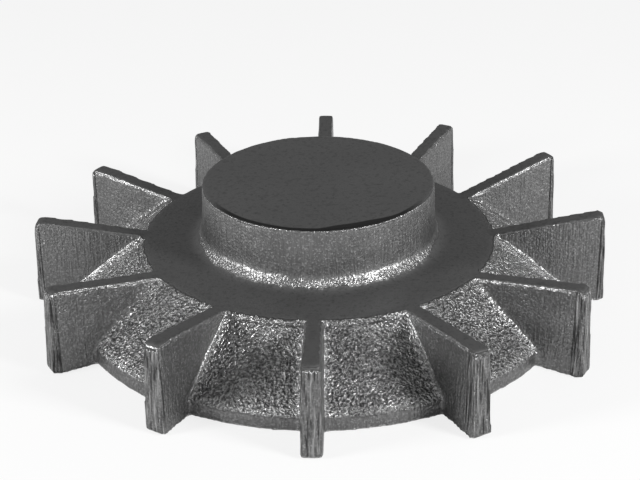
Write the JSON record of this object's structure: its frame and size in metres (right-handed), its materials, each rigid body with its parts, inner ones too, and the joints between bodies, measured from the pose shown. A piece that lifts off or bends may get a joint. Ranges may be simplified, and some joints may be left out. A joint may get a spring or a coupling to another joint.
{
  "type": "fan impeller",
  "caption": "Sand-cast iron fan impeller with flat radial blades standing on a coned back plate round a solid, unbored boss.",
  "frame": {"origin": "on the boss's axis, in the plane on which the blades' feet, the rim and the hub's foot rest", "axes": "+Z along the boss's axis, from the open back towards the boss's top face; +X along the middle plane of one blade"},
  "size_m": [0.25, 0.25, 0.0575],
  "materials": {
    "iron": "as cast in sand, dark, with a gritty skin"
  },
  "bodies": {
    "root": {"impeller_casting": "iron"}
  },
  "joints": []
}
